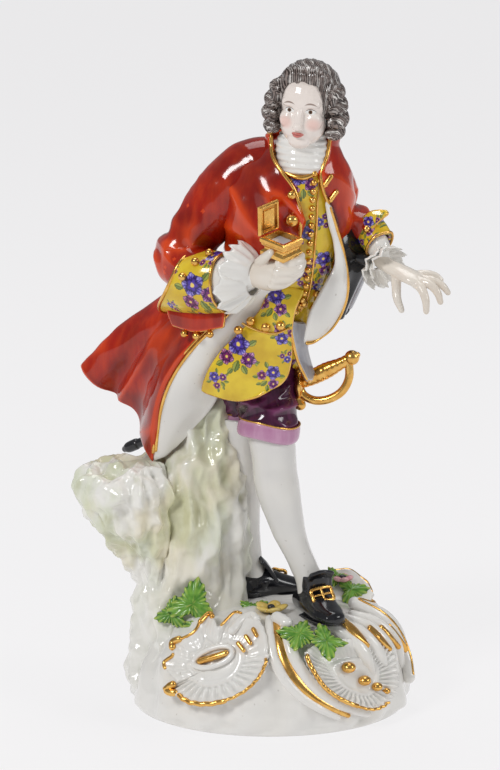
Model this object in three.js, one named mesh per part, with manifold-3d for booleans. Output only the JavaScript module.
// A glazed porcelain figurine: a bowing gentleman with a snuffbox, a tricorn under the arm and a sword,
// standing against a rock on a shell-and-scroll plinth. It is built as the pottery builds it, from
// separately moulded pieces that are luted together with slip before firing, so each piece is a solid
// of its own with a thin slip joint round it.
//
// Millimetres, +Z up, -Y towards the front. The figure is drawn with its origin on the plateau of the
// plinth, and the finished group is moved so that its origin is the middle of its box at the base.
import * as THREE from "three";
import { mergeVertices } from "three/addons/utils/BufferGeometryUtils.js";
import Module from "manifold-3d";

const wasm = await Module();
wasm.setup();

// ---- Driving dimensions ----
const stature = 185; // sole to crown
const drawnStature = 185; // the stature at which the figure's points below are drawn
const slipJoint = 0.3; // the gap between two luted pieces
const smallestDetail = 0.02; // finer steps than this are smoothed away

const plinthHalfWidth = 46;
const plinthHalfDepth = 43;
const plateauHeight = 33;
const rockFootHeight = 7; // how far above the floor the rock's foot meets the plinth's side
const ventHoleRadius = 2.5;
const ventHoleDepth = 8;

const clothThickness = 1.6; // coat skirts and waistcoat flaps
const liningThickness = 1.1;
const cuffWall = 1.5;
const coatButtonRadius = 1.7;
const kneeBandDepth = 5.5; // top to bottom
const kneeBandStandOff = 0.6; // how far the band stands off the breeches' hem

const boxLength = 10.6;
const boxWidth = 10.4;
const boxHeight = 6.6;
const boxWall = 1.1;
const boxWellDepth = 3.4;
const boxLidThickness = 1.4;
const boxTurn = -42; // degrees about Z
const lidOpening = 98; // degrees from shut

const gripRadius = 2.1;
const pommelRadius = 2.2;
const guardWireRadius = 1.15;
const quillonRadius = 1.6;
const scabbardRadius = 1.9;

const buckleLength = 6.6;
const buckleWidth = 5.4;
const buckleBar = 1;
const buckleThickness = 1;

const leafThickness = 1.3;
const petalThickness = 1.6;
const scrollRadius = 2.3;

// ---- Finishes: overglaze enamel and burnished gold on white glaze ----
const glaze = (color, roughness = 0.12, metalness = 0) =>
  new THREE.MeshStandardMaterial({ color, roughness, metalness });
const finish = {
  white: glaze(0xf1efe9),
  stocking: glaze(0xeceae4),
  flesh: glaze(0xf3e9e1),
  rock: glaze(0xe4e3d2),
  red: glaze(0xa31b0d),
  yellow: glaze(0xe0c21c),
  purple: glaze(0x3c1232),
  pink: glaze(0xc98fb9),
  black: glaze(0x0d0d10, 0.08),
  hair: glaze(0x6b6560, 0.2),
  green: glaze(0x4f8f2a),
  gold: glaze(0xd39a35, 0.25, 1),
};

// ---- Geometry helpers: each returns a manifold-3d solid, made larger all round by `grow` ----
function toSolid(geometry) {
  const bare = new THREE.BufferGeometry();
  bare.setAttribute("position", geometry.getAttribute("position"));
  if (geometry.index) bare.setIndex(geometry.index);
  const merged = mergeVertices(bare, 1e-4);
  const triVerts = new Uint32Array(merged.index.array);
  const build = () =>
    new wasm.Manifold(
      new wasm.Mesh({ numProp: 3, vertProperties: merged.attributes.position.array, triVerts }),
    );
  const solid = build();
  if (solid.volume() > 0) return solid;
  for (let i = 0; i < triVerts.length; i += 3)
    [triVerts[i + 1], triVerts[i + 2]] = [triVerts[i + 2], triVerts[i + 1]];
  return build();
}

function toGeometry(solid) {
  const mesh = solid.getMesh();
  const points = new Float32Array(mesh.numVert * 3);
  for (let i = 0; i < mesh.numVert; i++)
    points.set(mesh.vertProperties.subarray(i * mesh.numProp, i * mesh.numProp + 3), i * 3);
  const geometry = new THREE.BufferGeometry();
  geometry.setAttribute("position", new THREE.BufferAttribute(points, 3));
  geometry.setIndex(new THREE.BufferAttribute(mesh.triVerts, 1));
  geometry.computeVertexNormals();
  return geometry;
}

const union = (solids) => solids.reduce((sum, solid) => sum.add(solid));

// A closed skin over rings of points, each ring with as many points as the next.
function skin(rings) {
  const sides = rings[0].length;
  const points = rings.flat();
  const faces = [];
  const at = (ring, side) => ring * sides + (side % sides);
  for (let ring = 0; ring + 1 < rings.length; ring++)
    for (let side = 0; side < sides; side++) {
      faces.push(at(ring, side), at(ring, side + 1), at(ring + 1, side));
      faces.push(at(ring, side + 1), at(ring + 1, side + 1), at(ring + 1, side));
    }
  const middle = (ring) =>
    ring.reduce((sum, p) => sum.add(p), new THREE.Vector3()).divideScalar(sides);
  const first = points.push(middle(rings[0])) - 1;
  const last = points.push(middle(rings.at(-1))) - 1;
  for (let side = 0; side < sides; side++) {
    faces.push(first, at(0, side + 1), at(0, side));
    faces.push(last, at(rings.length - 1, side), at(rings.length - 1, side + 1));
  }
  return toSolid(new THREE.BufferGeometry().setFromPoints(points).setIndex(faces));
}

// Horizontal oval sections, each [x, y, z, half width, half depth].
function stack(rows, grow = 0, sides = 12) {
  const end = (i) => (i === 0 ? 0 : i === rows.length - 1 ? rows.length - 1 : null);
  const rings = rows.map(([x, y, z, rx, ry], i) => {
    const outward = end(i) === null ? 0 : Math.sign(z - rows[i === 0 ? 1 : i - 1][2]) * grow;
    return Array.from({ length: sides }, (_, k) => {
      const turn = (2 * Math.PI * k) / sides;
      return new THREE.Vector3(
        x + (rx + grow) * Math.cos(turn), y + (ry + grow) * Math.sin(turn), z + outward,
      );
    });
  });
  return skin(rings);
}

// Oval sections square to the path that they follow, each [x, y, z, half width, half height], with
// the convex hull of each two neighbours filled, so that a sharp bend stays sound.
function limb(rows, grow = 0, sides = 10) {
  const path = rows.map(([x, y, z]) => new THREE.Vector3(x, y, z));
  const last = rows.length - 1;
  const direction = (i) =>
    path[Math.min(i + 1, last)].clone().sub(path[Math.max(i - 1, 0)]).normalize();
  const ring = ([, , , a, b = a], i, outward = 0) => {
    const along = direction(i);
    const upright = Math.abs(along.z) > 0.94 ? new THREE.Vector3(0, 1, 0) : new THREE.Vector3(0, 0, 1);
    const across = new THREE.Vector3().crossVectors(along, upright).normalize();
    const over = new THREE.Vector3().crossVectors(across, along).normalize();
    return Array.from({ length: sides }, (_, k) => {
      const turn = (2 * Math.PI * k) / sides;
      return path[i].clone()
        .addScaledVector(along, outward)
        .addScaledVector(across, (a + grow) * Math.cos(turn))
        .addScaledVector(over, (b + grow) * Math.sin(turn))
        .toArray();
    });
  };
  const rings = rows.map((row, i) => ring(row, i));
  const caps = (i) => [
    ...(grow && i === 0 ? ring(rows[0], 0, -grow) : []),
    ...(grow && i + 1 === last ? ring(rows[last], last, grow) : []),
  ];
  return union(rings.slice(1).map((next, i) => wasm.Manifold.hull([...rings[i], ...next, ...caps(i)])));
}

function ball([x, y, z], [rx, ry, rz], grow = 0, around = 12, down = 7) {
  const sphere = new THREE.SphereGeometry(1, around, down);
  sphere.rotateX(Math.PI / 2);
  sphere.scale(rx + grow, ry + grow, rz + grow);
  sphere.translate(x, y, z);
  return toSolid(sphere);
}

const smooth = (points, count) =>
  new THREE.CatmullRomCurve3(points, false, "centripetal").getPoints(count - 1);

// A curved sheet through a grid of points, rows by columns, with a thickness.
function sheet(grid, thickness, grow = 0, down = 9, across = 7) {
  const rows = grid.map((row) => smooth(row.map((p) => new THREE.Vector3(...p)), across));
  const columns = Array.from({ length: across }, (_, c) => smooth(rows.map((row) => row[c]), down));
  const at = (r, c) => columns[c][r];
  const push = (point, from) =>
    point.clone().addScaledVector(point.clone().sub(from).normalize(), grow);
  const surface = Array.from({ length: down }, (_, r) =>
    Array.from({ length: across }, (_, c) => {
      let point = at(r, c).clone();
      if (r === 0) point = push(point, at(1, c));
      if (r === down - 1) point = push(point, at(down - 2, c));
      if (c === 0) point = push(point, at(r, 1));
      if (c === across - 1) point = push(point, at(r, across - 2));
      return point;
    }),
  );
  const normal = (r, c) => {
    const u = at(Math.min(r + 1, down - 1), c).clone().sub(at(Math.max(r - 1, 0), c));
    const v = at(r, Math.min(c + 1, across - 1)).clone().sub(at(r, Math.max(c - 1, 0)));
    return u.cross(v).normalize();
  };
  const half = thickness / 2 + grow;
  const rings = surface.map((row, r) => [
    ...row.map((p, c) => p.clone().addScaledVector(normal(r, c), half)),
    ...row.map((p, c) => p.clone().addScaledVector(normal(r, c), -half)).reverse(),
  ]);
  return slab(rings);
}

// Closes a sheet: like skin, but its two ends are strips between the two faces, not fans.
function slab(rings) {
  const sides = rings[0].length;
  const half = sides / 2;
  const points = rings.flat();
  const faces = [];
  const at = (ring, side) => ring * sides + (side % sides);
  for (let ring = 0; ring + 1 < rings.length; ring++)
    for (let side = 0; side < sides; side++) {
      faces.push(at(ring, side), at(ring, side + 1), at(ring + 1, side));
      faces.push(at(ring, side + 1), at(ring + 1, side + 1), at(ring + 1, side));
    }
  const last = rings.length - 1;
  for (let side = 0; side + 1 < half; side++) {
    const other = sides - 1 - side;
    faces.push(at(0, side), at(0, other), at(0, side + 1));
    faces.push(at(0, other), at(0, other - 1), at(0, side + 1));
    faces.push(at(last, side), at(last, side + 1), at(last, other));
    faces.push(at(last, other), at(last, side + 1), at(last, other - 1));
  }
  return toSolid(new THREE.BufferGeometry().setFromPoints(points).setIndex(faces));
}

// An outline in the XY plane, extruded along Z about the middle of its thickness, then placed.
function plate(shape, thickness, place, grow = 0, detail = 3) {
  const geometry = new THREE.ExtrudeGeometry(shape, {
    depth: thickness + 2 * grow, bevelEnabled: false, curveSegments: detail,
  });
  geometry.translate(0, 0, -thickness / 2 - grow);
  geometry.applyMatrix4(place);
  return toSolid(geometry);
}

// A place at a point, with its own Z along `facing` and then turned about it, in degrees.
function placed(point, facing, turn = 0) {
  const z = new THREE.Vector3(...facing).normalize();
  const spin = new THREE.Quaternion().setFromUnitVectors(new THREE.Vector3(0, 0, 1), z);
  const own = new THREE.Quaternion().setFromAxisAngle(
    new THREE.Vector3(0, 0, 1), THREE.MathUtils.degToRad(turn),
  );
  return new THREE.Matrix4().compose(
    new THREE.Vector3(...point), spin.multiply(own), new THREE.Vector3(1, 1, 1),
  );
}

// A leaf or flower seen flat: a ring of rounded lobes about the origin.
function lobedShape(lobes, radius, notch, grow = 0) {
  const steps = lobes * 6;
  const points = Array.from({ length: steps }, (_, k) => {
    const turn = (2 * Math.PI * k) / steps;
    const r = radius * (1 - notch * (0.5 - 0.5 * Math.cos(turn * lobes))) + grow;
    return new THREE.Vector2(r * Math.cos(turn), r * Math.sin(turn));
  });
  return new THREE.Shape(points);
}

function framedRectangle(length, width, bar, grow = 0) {
  const rectangle = (l, w) => [
    new THREE.Vector2(-l / 2, -w / 2), new THREE.Vector2(l / 2, -w / 2),
    new THREE.Vector2(l / 2, w / 2), new THREE.Vector2(-l / 2, w / 2),
  ];
  const shape = new THREE.Shape(rectangle(length + 2 * grow, width + 2 * grow));
  if (!grow) shape.holes.push(new THREE.Path(rectangle(length - 2 * bar, width - 2 * bar).reverse()));
  return shape;
}

const tube = (points, radius, grow, sides = 8) =>
  limb(points.map(([x, y, z]) => [x, y, z, radius]), grow, sides);

// ---- The plinth, drawn with its origin on the floor ----
// Heights and radii of the mound's profile, as shares of the plateau's height and the foot's radii.
const moundProfile = [[0, 0.985], [0.08, 1], [0.3, 0.975], [0.55, 0.91], [0.76, 0.82], [0.91, 0.72], [1, 0.6]];

function moundRadius(share) {
  const i = Math.max(1, moundProfile.findIndex(([height]) => height >= share));
  const [h0, r0] = moundProfile[i - 1];
  const [h1, r1] = moundProfile[i];
  return r0 + ((r1 - r0) * (share - h0)) / (h1 - h0);
}

// A point on the mound's side, at an angle in degrees from +X and a share of its height.
function onMound(angle, share, standOff = 0) {
  const turn = THREE.MathUtils.degToRad(angle);
  const r = moundRadius(share);
  const facing = moundFacing(angle, share);
  return [
    r * plinthHalfWidth * Math.cos(turn) + facing[0] * standOff,
    r * plinthHalfDepth * Math.sin(turn) + facing[1] * standOff,
    share * plateauHeight + facing[2] * standOff,
  ];
}

function moundFacing(angle, share) {
  const turn = THREE.MathUtils.degToRad(angle);
  const step = 0.08;
  const low = Math.max(0, share - step);
  const high = Math.min(1, share + step);
  const slope = ((moundRadius(low) - moundRadius(high)) * plinthHalfWidth) / ((high - low) * plateauHeight);
  const facing = new THREE.Vector3(
    Math.cos(turn) / plinthHalfWidth, Math.sin(turn) / plinthHalfDepth, 0,
  ).normalize().setZ(slope).normalize();
  return facing.toArray();
}

function plinth() {
  const mound = stack(
    moundProfile.map(([h, r]) => [0, 0, h * plateauHeight, r * plinthHalfWidth, r * plinthHalfDepth]), 0, 28,
  );
  const vent = stack(
    [-1, ventHoleDepth].map((z) => [0, 0, z, ventHoleRadius, ventHoleRadius]), 0, 16,
  );
  return mound.subtract(vent);
}

// An oval shield that lies on the mound's side.
function moundOval(angle, share, width, height, depth, lean = 0) {
  return (grow) => {
    const oval = ball([0, 0, 0], [width / 2, height / 2, depth / 2], grow, 16, 9);
    const place = placed(onMound(angle, share), moundFacing(angle, share), lean);
    return oval.transform(place.elements);
  };
}

const moundTube = (stops, radius) => (grow) =>
  tube(stops.map(([angle, share]) => onMound(angle, share, radius * 0.4)), radius, grow);

const moundFlutes = (from, to, count, share, radius) => (grow) =>
  union(Array.from({ length: count }, (_, k) => {
    const angle = from + ((to - from) * k) / (count - 1);
    return tube(
      [onMound(angle, share[1]), onMound(angle, (share[0] + share[1]) / 2, 0.6), onMound(angle, share[0])],
      radius, grow,
    );
  }));

const moundLeaf = (angle, share, lobes, radius, turn) => (grow) =>
  plate(
    lobedShape(lobes, radius, 0.45, grow), leafThickness,
    placed(onMound(angle, share, leafThickness / 2), moundFacing(angle, share), turn), grow,
  );

// ---- The figure, drawn with its origin on the plateau ----
const scale = stature / drawnStature;
const rockFoot = (rockFootHeight - plateauHeight) / scale;
const legFront = [
  [0, -7, 63, 8, 8], [0.6, -8, 58, 7.8, 7.8], [2, -9, 45, 7.6, 8], [5, -10, 33, 6.2, 6.6],
  [8.5, -11, 22, 5.1, 5.4], [12, -12, 14, 4.3, 4.5], [13, -12, 9, 4.3, 4.5],
];
const legRear = [
  [-9, 5, 63, 7.5, 7.5], [-9.5, 6, 57, 6.8, 6.8], [-9.5, 8, 45, 7, 7.2], [-9, 9.5, 33, 6.3, 6.4],
  [-8, 9.5, 22, 4.8, 5], [-7, 9, 13, 4, 4.2], [-6.8, 8.5, 8, 4, 4.2],
];
const shoeFront = [
  [9.5, -4, 6.6, 3.6, 5.4], [12, -8.5, 7.4, 4.4, 7.2], [14.5, -13, 7, 4.8, 7],
  [17.5, -18, 5.2, 5.2, 5.2], [20.5, -23.5, 3.6, 5, 3.5], [22.8, -27.5, 3, 3.4, 2.4],
];
const shoeRear = [
  [-9, 5.6, 5.5, 3.2, 5.2], [-6.5, 7, 6.7, 4, 6.6], [-2.5, 8.6, 6.8, 4.4, 6.6],
  [2.5, 10.4, 5.2, 4.6, 5], [7.5, 12, 3.8, 4.4, 3.6], [12, 13.4, 3.2, 3, 2.4],
];
const breechesFront = [[-4, 1, 88, 13, 11], [-3, -1, 77, 11.5, 10.5], [-1.5, -5, 68, 9.8, 9.4], [0, -8, 60, 9, 8.8]];
const breechesRear = [[-10, 4, 86, 9, 9], [-10.5, 4, 72, 8.5, 9], [-9.7, 5.5, 60, 7.8, 8.2]];
const waistcoatBody = [
  [-3, 2, 80, 13, 10], [2, -1, 96, 12, 10], [6, -6, 112, 13.2, 11], [9, -9, 130, 13.5, 11.5],
  [10, -11.5, 143, 11, 10], [10, -13.5, 151, 7.5, 7.5],
];
const coatBody = [
  [-3, 4, 88, 16, 12.5], [0, 2, 100, 15.5, 12.5], [2, -1, 112, 16.5, 13], [5, -4.5, 128, 18.5, 13.5],
  [6.5, -6, 140, 20, 13], [7.5, -7, 148.5, 17.5, 11.5], [10, -10, 152.5, 9.5, 9],
];
// What the open fronts of the coat leave clear.
const coatOpening = [
  [2, -18, 80, 14, 11], [6, -19, 96, 12, 11], [11, -21, 110, 11, 11], [11, -24, 125, 7.5, 12],
  [11, -25, 140, 6, 12], [11, -26, 156, 7, 12],
];
const neckStock = [[10, -15.5, 146, 8.4, 8.4], [10, -16.5, 152, 8.2, 8.3], [9.7, -17, 157, 7.6, 8]];
const head = [
  [9.2, -19.5, 155.5, 3.4, 4], [9.3, -19.2, 158, 6, 6.5], [9.5, -18.6, 163, 8, 9], [9.7, -17.6, 169, 8.9, 10],
  [9.9, -16.6, 175, 8.4, 9.4], [10, -15, 179.5, 6, 6.5], [10, -14.4, 181.5, 3, 3.4],
];
const faceOpening = [[9.4, -28, 150, 8.6, 11], [9.5, -28, 166, 9, 11], [9.8, -29, 175, 7.6, 10], [9.8, -30, 178.5, 3, 5]];
const sleeveRightUpper = [
  [1, -5, 143, 8.5, 8.5], [-7, -4.5, 141, 9.5, 9], [-16, -4, 134, 9, 9], [-24, -3.5, 125, 8.2, 8.2],
  [-30.5, -3, 117.5, 7.2, 7.6],
];
const sleeveRightLower = [
  [-33, -4, 115, 6.4, 6.8], [-28.5, -9, 115, 7.2, 7.2], [-22, -15, 115.5, 6.6, 6.6], [-16, -20, 116.5, 5.8, 5.8],
];
const cuffRight = [[-31, -9.5, 113, 10.2, 10.6], [-24.5, -14.5, 115, 9.6, 10], [-17, -20, 117, 7.6, 8]];
const ruffleRight = [[-16.4, -20.6, 117, 4.6, 4.6], [-12, -23, 117.5, 7, 8.6], [-9.6, -24.5, 117, 6.6, 10]];
const handRight = [[-12, -23, 117.6, 3.4, 3.2], [-5, -26.4, 118.4, 5.4, 4.8], [1.5, -29.6, 118.6, 7.2, 5.6], [6.6, -31.6, 119.4, 5, 4]];
const sleeveLeftUpper = [[13, -6, 143, 7.6, 8.4], [18, -5, 141, 8, 8.6], [20, -2, 132, 7.4, 8], [24, 0, 125, 6.8, 7.2]];
const sleeveLeftLower = [[24.6, 0, 124, 6.4, 6.6], [29, -4, 124, 6.2, 6.2], [33.5, -8.5, 121.5, 5.4, 5.4]];
const cuffLeft = [[29, -3.5, 126, 8.2, 8.8], [33, -8, 123, 7.4, 7.8], [36.5, -12, 119.5, 5.8, 6.2]];
const ruffleLeft = [[35.8, -11.4, 119.4, 4.4, 4.4], [38.6, -14, 117.5, 6, 6.6], [41, -16.5, 116, 6, 7.4]];
const handLeft = {
  palm: [[39, -15.5, 117, 3.2, 2.6], [43, -20, 115.5, 4.2, 2.6], [47.6, -23.4, 114.4, 3.8, 2.2]],
  thumb: [[42, -18, 115.4, 1.9], [41, -21.6, 110, 1.5], [42, -24, 104.8, 1.1]],
  index: [[46, -24, 114, 1.6], [48.4, -26, 110.4, 1.4], [50.2, -26.8, 105.8, 1]],
  middle: [[47, -23, 114.4, 1.7], [52, -24.6, 113.4, 1.4], [55.4, -25.2, 109.2, 1]],
  ring: [[46.6, -20.6, 115, 1.6], [51.6, -20.4, 115, 1.4], [55, -20, 112.6, 1]],
};
const coatSkirtRight = [
  [[-8, 15, 106], [-17, 8, 108], [-19, 0, 107], [-16.5, -7, 105], [-12.5, -12.2, 101.5]],
  [[-17, 21, 97], [-34, 11, 104], [-32, 3, 99], [-27, -5, 96], [-22.5, -10.4, 93.3]],
  [[-24, 27, 86], [-47, 15, 95], [-43, 8, 86], [-35, -2, 84], [-30.5, -7.8, 84.3]],
  [[-30, 31, 74], [-56, 18, 85], [-48, 13, 75], [-40, 3, 71], [-36, -4.2, 71.2]],
  [[-32, 34, 65], [-61.5, 20, 77], [-52, 16, 68], [-43, 9, 61], [-38.5, 0.8, 49.5]],
];
const coatSkirtBack = [
  [[-7, 15, 106], [2, 15, 107], [12, 12.5, 108]],
  [[-16, 21, 97], [-3, 24, 93], [10, 19, 97]],
  [[-24, 27.5, 84], [-8, 31, 79], [7, 25, 82]],
  [[-31, 34, 65], [-13, 37, 61], [3, 31.5, 65]],
];
const coatSkirtLeft = [
  [[12, 12.5, 111], [18, 8, 116], [20.5, 0, 120], [22, -7, 123]],
  [[10, 18, 98], [19, 11, 106], [24, 2, 110], [25.5, -6, 112]],
  [[7.5, 24, 84], [15, 17, 94], [21, 7, 100], [24, -2, 104]],
  [[4, 31, 66], [7, 26, 76], [10, 20, 84], [13, 13, 91]],
];
const coatFrontLeft = [
  [[15.4, -20, 147], [19, -15, 148], [23, -8, 147]], [[19, -20, 133], [22, -15, 134], [25, -7, 134]],
  [[22.4, -17, 121], [22.6, -11, 121], [22, -5, 121]], [[25.4, -11, 111.5], [24, -6, 111.5], [22, -1, 111.5]],
];
const coatLiningRight = [
  [[2, -17.5, 118], [-5, -18, 111.5], [-12.4, -13.8, 101]], [[-6, -14, 104], [-14, -13, 98], [-22.4, -12, 92.6]],
  [[-15, -8, 92], [-23, -9, 88], [-30.6, -9.4, 83.6]], [[-19, -3, 76], [-28, -4, 74], [-36.4, -6, 70.6]],
  [[-30, 0, 58], [-34, -0.6, 56], [-39, -1, 50]],
];
const waistcoatFlapRight = [
  [[2, -14, 111], [6, -18, 110.5], [9.7, -18.6, 109]], [[-7, -13, 105], [1, -18, 103], [7.6, -18, 100]],
  [[-12.5, -11.5, 97], [-3, -18, 94], [6.4, -17, 94]], [[-19, -9.5, 87], [-6, -17.6, 85], [6.2, -16, 86]],
  [[-21.8, -8, 74.5], [-8, -16.6, 74.5], [2.5, -16, 79.5]],
];
const waistcoatFlapLeft = [
  [[9.4, -17.8, 106], [13.6, -14.6, 107], [17, -8, 107]], [[8.6, -16.4, 96], [13, -13.4, 96], [15.4, -6, 96]],
  [[9.8, -15, 87], [12.4, -11.4, 88], [13.4, -5, 88]], [[13.3, -12.6, 76.6], [13.6, -9.6, 80], [13, -5, 83]],
];
const pocketFlapRight = [
  [[-31, -9.6, 101], [-24, -13.6, 101], [-16, -16, 101.5]], [[-30, -11, 97], [-23.4, -15, 96], [-16, -17.4, 97]],
];
const hatBrim = [
  [[24, 9, 127], [30, 3.4, 126.4], [34.6, -2, 121]], [[24, 11, 116], [30, 4.4, 114], [34.8, -2.6, 113.6]],
  [[25.5, 7, 106], [28.4, 3, 106], [31, 0, 107.5]], [[23, 3.6, 98], [24, 2.4, 97.4], [25, 1, 98.6]],
];
const swordBow = [
  [24, -8, 83], [24.2, -8.8, 77], [21, -8.6, 72.6], [15.5, -7.6, 71], [11.5, -6.4, 72.6], [9.8, -5.4, 76],
];
const scabbardLine = [[8.6, -3, 76.4], [-20, 21.5, 60], [-49, 38.5, 44.8]];
const boxMiddle = [3.4, -32, 125.6];

function snuffboxPlace(grow = 0, lift = 0) {
  const place = placed(boxMiddle, [0, 0, 1], boxTurn);
  return { place, lift: lift + grow };
}

function snuffboxTray(grow) {
  const { place } = snuffboxPlace();
  const rectangle = (l, w) => framedRectangle(l, w, 0, 1e-9);
  const outside = plate(rectangle(boxLength + 2 * grow, boxWidth + 2 * grow), boxHeight, place, grow);
  if (grow) return outside;
  const wellPlace = place.clone().multiply(
    new THREE.Matrix4().makeTranslation(0, 0, (boxHeight - boxWellDepth) / 2 + 0.5),
  );
  const well = plate(rectangle(boxLength - 2 * boxWall, boxWidth - 2 * boxWall), boxWellDepth + 1, wellPlace);
  return outside.subtract(well);
}

// The lid stands open on the tray's rear edge, turned about the hinge line by its opening.
function snuffboxLid(grow) {
  const { place } = snuffboxPlace();
  const hinge = new THREE.Matrix4().makeTranslation(0, boxWidth / 2, boxHeight / 2 + slipJoint);
  const open = new THREE.Matrix4().makeRotationX(-THREE.MathUtils.degToRad(lidOpening));
  const panel = new THREE.Matrix4().makeTranslation(0, -boxWidth / 2, boxLidThickness / 2);
  const lidPlace = place.clone().multiply(hinge).multiply(open).multiply(panel);
  const outline = framedRectangle(boxLength + 2 * grow, boxWidth + 2 * grow, 0, 1e-9);
  return plate(outline, boxLidThickness, lidPlace, grow);
}

const kneeBand = ([x, y, z, rx, ry]) => (grow) =>
  stack([
    [x, y, z + 1, rx + kneeBandStandOff, ry + kneeBandStandOff],
    [x, y, z + 1 - kneeBandDepth, rx + kneeBandStandOff / 2, ry + kneeBandStandOff / 2],
  ], grow, 16);

const buckle = (point, facing, turn) => (grow) =>
  plate(
    framedRectangle(buckleLength, buckleWidth, buckleBar, grow), buckleThickness,
    placed(point, facing, turn), grow,
  );

const button = (point) => (grow) => ball(point, Array(3).fill(coatButtonRadius), grow, 10, 7);

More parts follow.
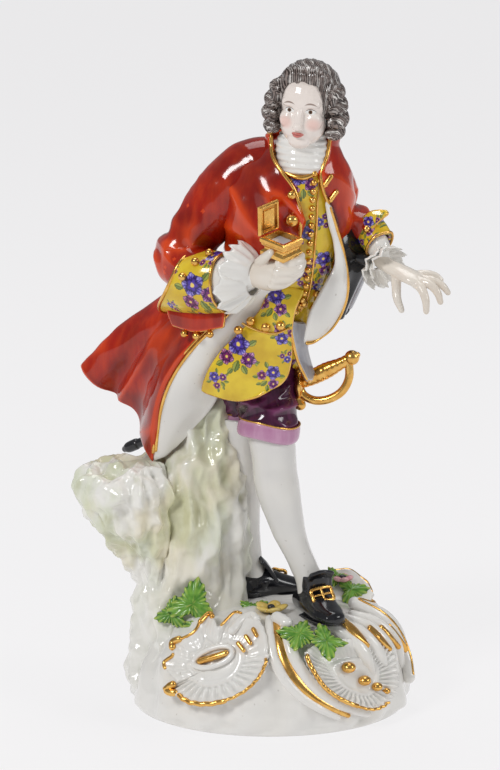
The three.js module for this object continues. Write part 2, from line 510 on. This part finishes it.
// ---- The pieces, in the order in which they keep their shape: each is cut back from those before it ----
const figurePieces = [
  ["coat_button_upper", finish.gold, button([8.6, -21.4, 141.4])],
  ["coat_button_lower", finish.gold, button([8.2, -21.6, 133.2])],
  ["snuffbox_tray", finish.gold, snuffboxTray],
  ["snuffbox_lid", finish.gold, snuffboxLid],
  ["buckle_front", finish.gold, buckle([18.4, -19.6, 9.6], [0.42, -0.75, 0.9], 25)],
  ["buckle_rear", finish.gold, buckle([2.6, 10, 10.6], [0.4, 0.1, 1], 90)],
  ["sword_pommel", finish.gold, (grow) => ball([26.5, -8.6, 85.8], Array(3).fill(pommelRadius), grow)],
  ["sword_grip", finish.gold, (grow) => limb(
    [[11, -4.8, 77, gripRadius * 0.8], [17.5, -6.6, 80.8, gripRadius], [25, -8.2, 84.8, gripRadius * 0.75]], grow,
  )],
  ["sword_guard", finish.gold, (grow) => union([
    tube(swordBow, guardWireRadius, grow),
    tube([[9.2, -4.4, 80], [9.2, -4.4, 74.5], [9.9, -5, 69]], quillonRadius, grow),
    ball([9.6, -4.6, 76], [1.7, 4, 4], grow, 12, 8),
  ])],
  ["hand_right", finish.flesh, (grow) => limb(handRight, grow)],
  ["hand_left", finish.flesh, (grow) => union(Object.values(handLeft).map((rows) => limb(rows, grow, 8)))],
  ["ruffle_right", finish.white, (grow) => limb(ruffleRight, grow)],
  ["ruffle_left", finish.white, (grow) => limb(ruffleLeft, grow)],
  ["cuff_right", finish.yellow, (grow) => limb(cuffRight, grow, 14)],
  ["cuff_left", finish.yellow, (grow) => limb(cuffLeft, grow, 14)],
  ["head", finish.flesh, (grow) => stack(head, grow)],
  ["neck_stock", finish.white, (grow) => stack(neckStock, grow)],
  ["wig_curls_right", finish.hair, (grow) => ball([0.4, -12, 166.5], [3.6, 6.5, 9], grow)],
  ["wig_curls_left", finish.hair, (grow) => ball([22, -11.5, 168], [4.2, 6.5, 9.5], grow)],
  ["queue_ribbon", finish.black, (grow) => ball([9, 4.4, 156], [6.6, 2.2, 2.8], grow, 12, 7)],
  ["wig_queue", finish.hair, (grow) => limb(
    [[10, -3, 168, 5], [9, 4, 156, 3], [8, 8.6, 142, 3], [7.4, 11.4, 129, 1.6]], grow,
  )],
  ["wig_crown", finish.hair, (grow) => {
    const dome = ball([11, -13.4, 171.5], [12, 13.2, 13.4], grow, 16, 10);
    return grow ? dome : dome.subtract(stack(faceOpening));
  }],
  ["pocket_flap_right", finish.red, (grow) => sheet(pocketFlapRight, clothThickness, grow, 3, 5)],
  ["waistcoat_flap_right", finish.yellow, (grow) => sheet(waistcoatFlapRight, clothThickness, grow)],
  ["waistcoat_flap_left", finish.yellow, (grow) => sheet(waistcoatFlapLeft, clothThickness, grow, 7, 5)],
  ["coat_front_left", finish.red, (grow) => sheet(coatFrontLeft, clothThickness, grow, 7, 5)],
  ["coat_lining_right", finish.white, (grow) => sheet(coatLiningRight, liningThickness, grow, 9, 5)],
  ["hat_crown", finish.black, (grow) => ball([28.6, 6.4, 117.5], [5.6, 7.5, 8.4], grow)],
  ["hat_brim", finish.black, (grow) => sheet(hatBrim, clothThickness, grow, 7, 5)],
  ["sleeve_right_lower", finish.red, (grow) => limb(sleeveRightLower, grow)],
  ["sleeve_right_upper", finish.red, (grow) => limb(sleeveRightUpper, grow)],
  ["sleeve_left_lower", finish.red, (grow) => limb(sleeveLeftLower, grow)],
  ["sleeve_left_upper", finish.red, (grow) => limb(sleeveLeftUpper, grow)],
  ["waistcoat_body", finish.yellow, (grow) => stack(waistcoatBody, grow)],
  ["coat_body", finish.red, (grow) => {
    const cloth = stack(coatBody, grow, 16);
    return grow ? cloth : cloth.subtract(stack(coatOpening));
  }],
  ["scabbard", finish.black, (grow) => tube(scabbardLine, scabbardRadius, grow, 10)],
  ["coat_skirt_right", finish.red, (grow) => sheet(coatSkirtRight, clothThickness, grow, 9, 9)],
  ["coat_skirt_back", finish.red, (grow) => sheet(coatSkirtBack, clothThickness, grow, 7, 5)],
  ["coat_skirt_left", finish.red, (grow) => sheet(coatSkirtLeft, clothThickness, grow, 7, 7)],
  ["knee_band_front", finish.pink, kneeBand(breechesFront.at(-1))],
  ["knee_band_rear", finish.pink, kneeBand(breechesRear.at(-1))],
  ["breeches_front", finish.purple, (grow) => stack(breechesFront, grow)],
  ["breeches_rear", finish.purple, (grow) => stack(breechesRear, grow)],
  ["shoe_front", finish.black, (grow) => limb(shoeFront, grow)],
  ["shoe_rear", finish.black, (grow) => limb(shoeRear, grow)],
  ["leg_front", finish.stocking, (grow) => stack(legFront, grow)],
  ["leg_rear", finish.stocking, (grow) => stack(legRear, grow)],
  ["leaf_stump", finish.green, (grow) => plate(
    lobedShape(3, 8.6, 0.5, grow), leafThickness, placed([-27, -10.6, 5.4], [0, -1, 0.25], 90), grow,
  )],
  ["rock_ledge", finish.rock, (grow) => stack([
    [-40, 2, 15, 8, 9], [-43, 1, 25, 12, 13], [-47, 0, 37, 15, 16], [-48, 0, 44, 15.2, 17], [-46, 1, 48.5, 11, 12],
  ], grow, 16)],
  ["rock_stump", finish.rock, (grow) => stack([
    [-27, 2, rockFoot, 17.5, 22], [-26.5, 3, 0.3 * rockFoot, 19, 18], [-26, 6, 7, 17.5, 15], [-27, 6, 22, 18.5, 15], [-27, 6, 35, 19, 14],
    [-24, 7, 47, 13, 11], [-22, 8, 59, 9.5, 9], [-19, 8, 70, 6.5, 6.5],
  ], grow, 18)],
];

const plinthPieces = [
  ["leaf_front", finish.green, moundLeaf(-62, 0.93, 5, 9, 10)],
  ["rocaille_cartouche", finish.white, moundOval(-113, 0.55, 30, 26, 7, 12)],
  ["rocaille_scroll", finish.white, moundTube(
    [[-86, 0.96], [-92, 0.8], [-88, 0.6], [-78, 0.42], [-64, 0.26], [-52, 0.14]], scrollRadius,
  )],
  ["rocaille_shell", finish.white, moundOval(-50, 0.45, 30, 20, 7, -30)],
  ["rocaille_crest", finish.white, moundFlutes(-38, -8, 5, [0.35, 0.95], 3.8)],
  ["rocaille_rear_scroll", finish.white, moundTube(
    [[50, 0.96], [34, 0.84], [16, 0.9], [4, 1]], scrollRadius * 1.3,
  )],
  ["flower_yellow", finish.yellow, (grow) => plate(
    lobedShape(5, 5.4, 0.3, grow), petalThickness,
    placed([3, -14, plateauHeight + petalThickness / 2], [0, -0.1, 1]), grow,
  )],
  ["flower_pink", finish.pink, (grow) => plate(
    lobedShape(5, 4.2, 0.3, grow), petalThickness,
    placed([23, 16, plateauHeight + petalThickness / 2], [0, -0.1, 1]), grow,
  )],
  ["leaf_rear", finish.green, (grow) => plate(
    lobedShape(3, 7, 0.5, grow), leafThickness,
    placed([25, 3, plateauHeight + leafThickness / 2], [0.1, -0.1, 1], 40), grow,
  )],
];

const onPlateau = (shape) => (grow) =>
  shape(grow / scale).scale([scale, scale, scale]).translate([0, 0, plateauHeight]);
const drawn = [
  ...figurePieces.map(([name, material, shape]) => ({ name, material, shape: onPlateau(shape) })),
  ...plinthPieces.map(([name, material, shape]) => ({ name, material, shape })),
  { name: "plinth", material: finish.white, shape: plinth },
];

function boxesMeet(a, b) {
  const one = a.boundingBox();
  const other = b.boundingBox();
  return [0, 1, 2].every((k) => one.min[k] < other.max[k] && one.max[k] > other.min[k]);
}

// Cuts a piece back from all that come before it, by the slip joint, and keeps its main body.
function fitted(shape, before) {
  let solid = shape(0);
  for (const other of before) if (boxesMeet(solid, other)) solid = solid.subtract(other);
  const bodies = solid.simplify(smallestDetail).decompose();
  return bodies.reduce((most, body) => (body.volume() > most.volume() ? body : most));
}

const figurine = new THREE.Group();
const before = [];
for (const { name, material, shape } of drawn) {
  const mesh = new THREE.Mesh(toGeometry(fitted(shape, before)), material);
  mesh.name = name;
  figurine.add(mesh);
  before.push(shape(slipJoint));
}

// The origin is the middle of the whole object's box, at the base.
const box = new THREE.Box3().setFromObject(figurine);
const middle = box.getCenter(new THREE.Vector3());
figurine.position.set(-middle.x, -middle.y, -box.min.z);

export default figurine;
